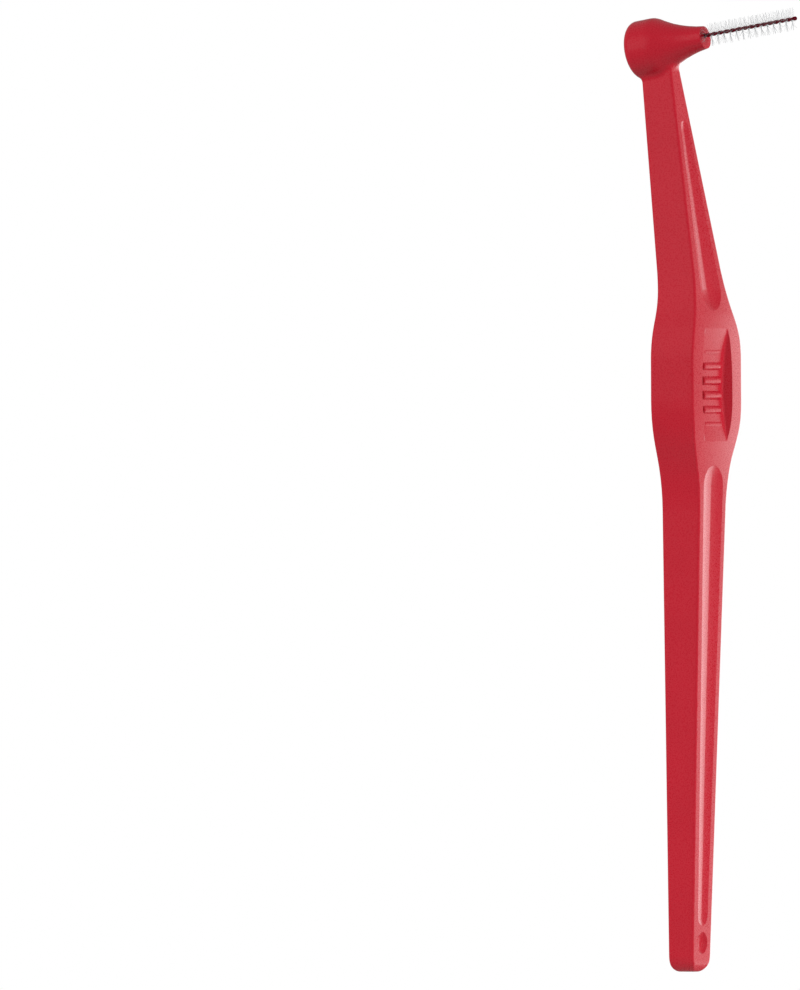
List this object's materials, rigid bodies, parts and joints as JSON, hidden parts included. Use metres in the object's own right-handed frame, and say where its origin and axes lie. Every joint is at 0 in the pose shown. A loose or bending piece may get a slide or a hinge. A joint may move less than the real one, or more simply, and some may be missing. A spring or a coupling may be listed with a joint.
{
  "type": "interdental brush",
  "caption": "Slim moulded handle with a flared thumb rest, long front flutes and an angled head that holds a short twisted-wire brush with radiating nylon filaments.",
  "frame": {"origin": "on the flat back of the handle, behind the middle of the thumb rest, on the plane of symmetry", "axes": "+Z along the straight grip up to the head, +X out of the front face, the way the brush points, +Y across the width"},
  "size_m": [0.0224, 0.0126, 0.1155],
  "materials": {
    "red_polypropylene": "satin injection moulding",
    "stainless_wire": "drawn wire",
    "maroon_coating": "thin smooth polymer coat",
    "nylon_filament": "translucent drawn filament"
  },
  "bodies": {
    "root": {"handle": "red_polypropylene", "wire_core": "stainless_wire", "wire_coating": "maroon_coating", "bristle_whorl_01": "nylon_filament", "bristle_whorl_02": "nylon_filament", "bristle_whorl_03": "nylon_filament", "bristle_whorl_04": "nylon_filament", "bristle_whorl_05": "nylon_filament", "bristle_whorl_06": "nylon_filament", "bristle_whorl_07": "nylon_filament", "bristle_whorl_08": "nylon_filament", "bristle_whorl_09": "nylon_filament", "bristle_whorl_10": "nylon_filament", "bristle_whorl_11": "nylon_filament", "bristle_whorl_12": "nylon_filament", "bristle_whorl_13": "nylon_filament", "bristle_whorl_14": "nylon_filament"}
  },
  "joints": []
}
